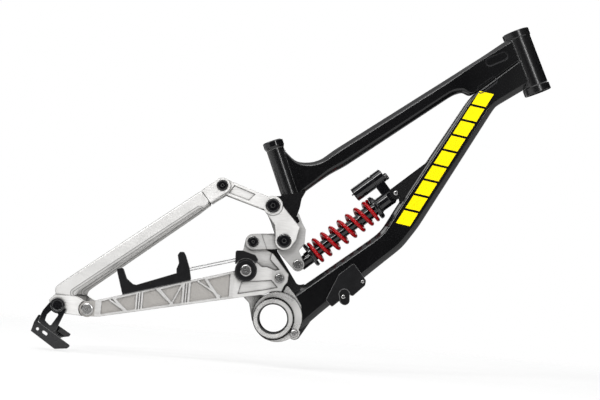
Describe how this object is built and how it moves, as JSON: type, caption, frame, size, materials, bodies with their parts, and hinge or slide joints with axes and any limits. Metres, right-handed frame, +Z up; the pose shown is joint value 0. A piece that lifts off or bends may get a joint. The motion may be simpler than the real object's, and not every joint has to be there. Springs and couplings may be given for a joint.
{
  "type": "bicycle frame",
  "caption": "Full-suspension downhill bicycle frame: tube front triangle, raw alloy forging round the bottom bracket, ribbed swingarm, seatstays, rocker links and a coil shock.",
  "frame": {"origin": "centre of the bottom bracket bore, in the middle plane of the frame", "axes": "+X forward to the head tube, +Y to the left (non-drive) side along the bottom bracket, +Z up"},
  "size_m": [1.0133, 0.1936, 0.7447],
  "materials": {
    "black_paint": "satin black paint over a moulded tube",
    "raw_alloy": "raw machined and brushed, clear coated",
    "grey_alloy": "raw machined, in shadow between the links",
    "black_alloy": "black anodised",
    "black_plastic": "moulded, matt",
    "steel": "turned steel",
    "rubber": "soft",
    "red_coat": "red powder coat on spring steel",
    "dark_shock": "black anodised damper"
  },
  "bodies": {
    "front": {"head_tube": "black_paint", "top_tube": "black_paint", "down_tube": "black_paint", "seat_tube": "black_paint", "spine": "black_paint", "seat_collar": "black_alloy", "shock_mount": "black_paint", "bb_cradle": "raw_alloy", "bb_sleeve": "black_alloy", "cradle_bolts": "steel", "downtube_guard": "black_plastic", "guard_screws": "steel", "main_bearings": "steel", "link_bearings": "steel", "upper_shock_bolt": "steel", "upper_eye_bush": "steel"},
    "swingarm": {"swingarm": "raw_alloy", "main_axle": "steel", "main_axle_caps": "steel", "idler_bolt": "steel", "idler_guard": "black_plastic", "rear_pivot_bolts": "steel", "hose_rail": "black_plastic", "hose_rods": "steel"},
    "idler": {"idler_roller": "black_plastic"},
    "seatstay": {"seatstay_drive": "raw_alloy", "seatstay_left": "raw_alloy", "stay_end_drive": "raw_alloy", "stay_end_left": "raw_alloy", "stay_bolts": "black_alloy", "dropout_drive": "raw_alloy", "dropout_left": "raw_alloy", "rear_pivot_bearings": "steel", "rear_axle": "black_alloy", "axle_cap": "black_alloy", "hanger_bracket": "black_alloy"},
    "upper_rocker": {"rocker_arm_drive": "raw_alloy", "rocker_arm_left": "raw_alloy"},
    "shock_rocker": {"rocker_plate_drive": "raw_alloy", "rocker_plate_left": "raw_alloy", "shock_plate_drive": "grey_alloy", "shock_plate_left": "grey_alloy", "lower_pin_bolts": "black_alloy", "lower_shock_bolt": "steel", "link_axle": "steel", "link_axle_bolts": "black_alloy"},
    "drag_link": {"drag_link_drive": "raw_alloy", "drag_link_left": "raw_alloy", "drag_link_bolts": "black_alloy"},
    "damper": {"shock_body": "dark_shock", "reservoir": "dark_shock", "spring_collar": "black_alloy", "coil_spring": "red_coat"},
    "knob": {"reservoir_knob": "dark_shock"},
    "shaft": {"shock_shaft": "dark_shock", "bottom_bumper": "rubber", "lower_eye": "black_alloy"}
  },
  "joints": [
    {"name": "swingarm_pivot", "type": "hinge", "parent": "front", "child": "swingarm", "pos_m": [0.006, 0, 0.083], "axis": [0, 1, 0], "range_deg": [0, 25], "stiffness_Nm_per_rad": 400},
    {"name": "idler_spin", "type": "hinge", "parent": "swingarm", "child": "idler", "pos_m": [-0.063, -0.0565, 0.093], "axis": [0, 1, 0], "continuous": true},
    {"name": "seatstay_pivot", "type": "hinge", "parent": "swingarm", "child": "seatstay", "pos_m": [-0.373, 0, -0.012], "axis": [0, 1, 0], "range_deg": [-7, 0]},
    {"name": "upper_rocker_pivot", "type": "hinge", "parent": "front", "child": "upper_rocker", "pos_m": [-0.02, 0, 0.23], "axis": [0, 1, 0], "range_deg": [0, 55]},
    {"name": "shock_rocker_pivot", "type": "hinge", "parent": "front", "child": "shock_rocker", "pos_m": [-0.02, 0, 0.23], "axis": [0, 1, 0], "range_deg": [-31, 0]},
    {"name": "drag_link_pivot", "type": "hinge", "parent": "shock_rocker", "child": "drag_link", "pos_m": [0.009, 0, 0.16], "axis": [0, 1, 0], "range_deg": [0, 28]},
    {"name": "shock_pivot", "type": "hinge", "parent": "front", "child": "damper", "pos_m": [0.2291, 0, 0.27867], "axis": [0, 1, 0], "range_deg": [-0.5, 0]},
    {"name": "shock_slide", "type": "slide", "parent": "damper", "child": "shaft", "axis": [0.7524, 0, 0.6587], "range_m": [0, 0.07], "deforming": ["coil_spring"]},
    {"name": "adjuster_knob", "type": "hinge", "parent": "damper", "child": "knob", "pos_m": [0.20449, 0, 0.31028], "axis": [0.7524, 0, 0.6587], "range_deg": [0, 300]}
  ],
  "couplings": [
    {"joint": "seatstay_pivot", "follows": "swingarm_pivot", "ratio": -0.267},
    {"joint": "upper_rocker_pivot", "follows": "swingarm_pivot", "ratio": 2.1676},
    {"joint": "shock_rocker_pivot", "follows": "swingarm_pivot", "ratio": -1.2248},
    {"joint": "drag_link_pivot", "follows": "swingarm_pivot", "ratio": 1.0971},
    {"joint": "shock_pivot", "follows": "swingarm_pivot", "ratio": -0.0146},
    {"joint": "shock_slide", "follows": "swingarm_pivot", "m_per_rad": 0.15873}
  ]
}
